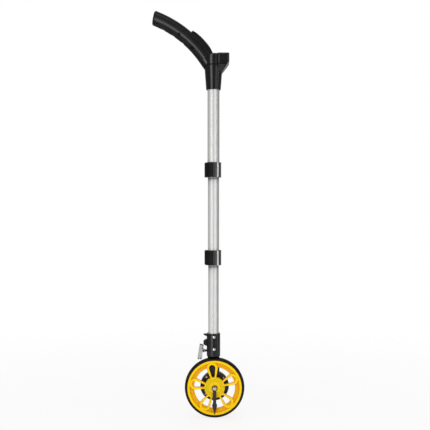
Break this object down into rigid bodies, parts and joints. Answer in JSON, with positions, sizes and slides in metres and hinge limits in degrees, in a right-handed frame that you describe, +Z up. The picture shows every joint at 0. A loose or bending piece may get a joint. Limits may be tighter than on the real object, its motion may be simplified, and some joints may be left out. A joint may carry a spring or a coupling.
{
  "type": "digital measuring wheel",
  "caption": "Digital measuring wheel: yellow spoked wheel with rubber tyre, brake and pointer on a telescopic pole, under a curved grip with display, keys and battery door.",
  "frame": {"origin": "where the tyre meets the ground, straight under the axle", "axes": "+X forward, the way the display pod points; +Y along the axle, away from the pointer; +Z up the pole"},
  "size_m": [0.2455, 0.068, 1.0842],
  "materials": {
    "yellow_plastic": "bright yellow moulding, lightly glossy",
    "tyre_rubber": "black tread rubber",
    "bearing_steel": "ground steel",
    "zinc_steel": "zinc plated",
    "cap_nut_steel": "bright plated",
    "magnet_plastic": "magnet-filled plastic",
    "pointer_plastic": "black, slightly glossy",
    "black_abs": "fine-textured black moulding",
    "black_nylon": "satin black moulding",
    "rivet_aluminium": "dull domed heads",
    "tube_aluminium": "satin anodised",
    "lever_steel": "bright plated sheet",
    "pad_rubber": "hard black rubber",
    "spring_bronze": "bare bronze strip",
    "bush_plastic": "grey acetal",
    "bezel_plastic": "glossy black",
    "lens_plastic": "clear window",
    "lcd_glass": "grey-green display",
    "strip_rubber": "layered contact rubber",
    "board_laminate": "green laminate",
    "switch_plastic": "dark plastic",
    "button_red": "soft keypad rubber",
    "button_grey": "soft keypad rubber",
    "grip_rubber": "soft matt rubber",
    "tray_plastic": "dark grey moulding",
    "cell_jacket": "plain printed jacket, no marks",
    "contact_brass": "bare strip"
  },
  "bodies": {
    "handle": {"upper_tube": "tube_aluminium", "tube_screw": "zinc_steel", "head_cup": "black_abs", "head_case": "black_abs", "display_bezel": "bezel_plastic", "display_lens": "lens_plastic", "lcd_panel": "lcd_glass", "contact_strips": "strip_rubber", "main_board": "board_laminate", "switches": "switch_plastic", "case_screws": "zinc_steel", "grip_shell_near": "black_abs", "grip_shell_far": "black_abs", "finger_grip": "grip_rubber", "grip_end_cap": "black_abs", "grip_screws": "zinc_steel", "battery_tray": "tray_plastic", "battery_cells": "cell_jacket", "battery_contacts": "contact_brass", "door_pin": "zinc_steel", "upper_clamp_body": "black_nylon", "upper_clamp_bolt": "zinc_steel", "upper_clamp_pin": "zinc_steel", "upper_clamp_nut": "zinc_steel"},
    "battery_door": {"battery_door": "black_abs"},
    "button_power": {"button_power": "button_red"},
    "button_zero": {"button_zero": "button_grey"},
    "button_unit": {"button_unit": "button_grey"},
    "upper_clamp_lever": {"upper_clamp_lever": "black_nylon"},
    "middle_section": {"middle_tube": "tube_aluminium", "middle_bush": "bush_plastic", "lower_clamp_body": "black_nylon", "lower_clamp_bolt": "zinc_steel", "lower_clamp_pin": "zinc_steel", "lower_clamp_nut": "zinc_steel"},
    "lower_clamp_lever": {"lower_clamp_lever": "black_nylon"},
    "lower_section": {"lower_tube": "tube_aluminium", "lower_bush": "bush_plastic", "fork_arm": "black_abs", "fork_rivets": "rivet_aluminium", "sensor_cover": "black_abs", "cover_screws": "zinc_steel", "sensor_board": "board_laminate", "axle": "zinc_steel", "axle_washer": "zinc_steel", "axle_nut": "cap_nut_steel", "axle_rear_nut": "zinc_steel", "bearing_spacer": "zinc_steel"},
    "wheel": {"wheel_rim": "yellow_plastic", "tyre": "tyre_rubber", "wheel_bearings": "bearing_steel", "magnet_ring": "magnet_plastic"},
    "pointer": {"pointer": "pointer_plastic"},
    "brake": {"brake_lever": "lever_steel", "brake_pad": "pad_rubber", "brake_spring": "spring_bronze", "brake_pin": "zinc_steel"}
  },
  "joints": [
    {"name": "door_hinge", "type": "hinge", "parent": "handle", "child": "battery_door", "pos_m": [-0.0575, 0, 1.02673], "axis": [0, -1, 0], "range_deg": [0, 75]},
    {"name": "button_power_press", "type": "slide", "parent": "handle", "child": "button_power", "axis": [0, 0, -1], "range_m": [0, 0.0008], "stiffness_N_per_m": 600},
    {"name": "button_zero_press", "type": "slide", "parent": "handle", "child": "button_zero", "axis": [0, 0, -1], "range_m": [0, 0.0008], "stiffness_N_per_m": 600},
    {"name": "button_unit_press", "type": "slide", "parent": "handle", "child": "button_unit", "axis": [0, 0, -1], "range_m": [0, 0.0008], "stiffness_N_per_m": 600},
    {"name": "upper_clamp_lever_swing", "type": "hinge", "parent": "handle", "child": "upper_clamp_lever", "pos_m": [-0.02371, 0.01649, 0.65915], "axis": [0, 0, -1], "range_deg": [0, 120]},
    {"name": "upper_slide", "type": "slide", "parent": "handle", "child": "middle_section", "axis": [0, 0, 1], "range_m": [0, 0.19]},
    {"name": "lower_clamp_lever_swing", "type": "hinge", "parent": "middle_section", "child": "lower_clamp_lever", "pos_m": [-0.02371, 0.01649, 0.42555], "axis": [0, 0, -1], "range_deg": [0, 120]},
    {"name": "lower_slide", "type": "slide", "parent": "middle_section", "child": "lower_section", "axis": [0, 0, 1], "range_m": [0, 0.176]},
    {"name": "wheel_spin", "type": "hinge", "parent": "lower_section", "child": "wheel", "pos_m": [0, 0, 0.07958], "axis": [0, 1, 0], "continuous": true},
    {"name": "pointer_swing", "type": "hinge", "parent": "lower_section", "child": "pointer", "pos_m": [0, 0, 0.07958], "axis": [0, 1, 0], "continuous": true},
    {"name": "brake_pivot", "type": "hinge", "parent": "lower_section", "child": "brake", "pos_m": [-0.0293, 0, 0.17765], "axis": [0, -1, 0], "range_deg": [0, 20]}
  ]
}
